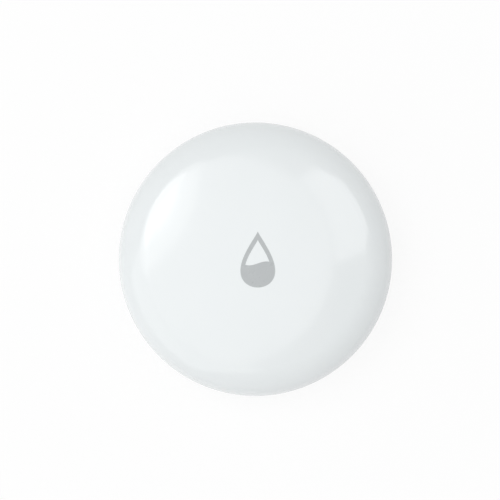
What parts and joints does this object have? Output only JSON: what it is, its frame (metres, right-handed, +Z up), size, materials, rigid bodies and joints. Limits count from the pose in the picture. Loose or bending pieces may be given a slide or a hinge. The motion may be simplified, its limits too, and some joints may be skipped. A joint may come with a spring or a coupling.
{
  "type": "water leak sensor",
  "caption": "Round domed puck that stands on small feet, senses water between metal probes underneath, and has a press-in centre with a drop symbol and a twist-off battery door.",
  "frame": {"origin": "on the floor under the middle of the case", "axes": "+Z up out of the pressed face, +Y the way the drop's tip points, +X to the right through one probe"},
  "size_m": [0.05, 0.05, 0.015],
  "materials": {
    "cover_white": "gloss",
    "base_white": "satin",
    "drop_print": "printed",
    "seal_silicone": "matte",
    "cell_steel": "satin",
    "spring_steel": "bright",
    "probe_steel": "plated",
    "board_laminate": "solder mask",
    "moulded_black": "moulded",
    "trace_copper": "bright",
    "capacitor_ceramic": "fired",
    "led_lens": "clear"
  },
  "bodies": {
    "housing": {"base_shell": "base_white", "top_cover": "cover_white", "case_seal": "seal_silicone", "coin_cell": "cell_steel", "battery_cradle": "moulded_black", "negative_contact": "spring_steel", "positive_contact": "spring_steel", "probe_pins": "probe_steel", "probe_seals": "seal_silicone", "probe_nuts": "probe_steel", "circuit_board": "board_laminate", "board_screws": "spring_steel", "radio_chip": "moulded_black", "crystal": "cell_steel", "antenna": "trace_copper", "chip_capacitors": "capacitor_ceramic", "status_led": "led_lens", "switch_housing": "moulded_black"},
    "button": {"press_pad": "cover_white", "drop_symbol": "drop_print"},
    "plunger": {"switch_plunger": "moulded_black"},
    "door": {"battery_door": "base_white", "door_seal": "seal_silicone"}
  },
  "joints": [
    {"name": "button_press", "type": "slide", "parent": "housing", "child": "button", "axis": [0, 0, -1], "range_m": [0, 0.00025], "stiffness_N_per_m": 8000},
    {"name": "plunger_press", "type": "slide", "parent": "housing", "child": "plunger", "axis": [0, 0, -1], "range_m": [0, 0.0004]},
    {"name": "door_twist", "type": "hinge", "parent": "housing", "child": "door", "pos_m": [0, 0, 0.0006], "axis": [0, 0, -1], "range_deg": [0, 40]}
  ],
  "couplings": [
    {"joint": "plunger_press", "follows": "button_press", "ratio": 1}
  ]
}
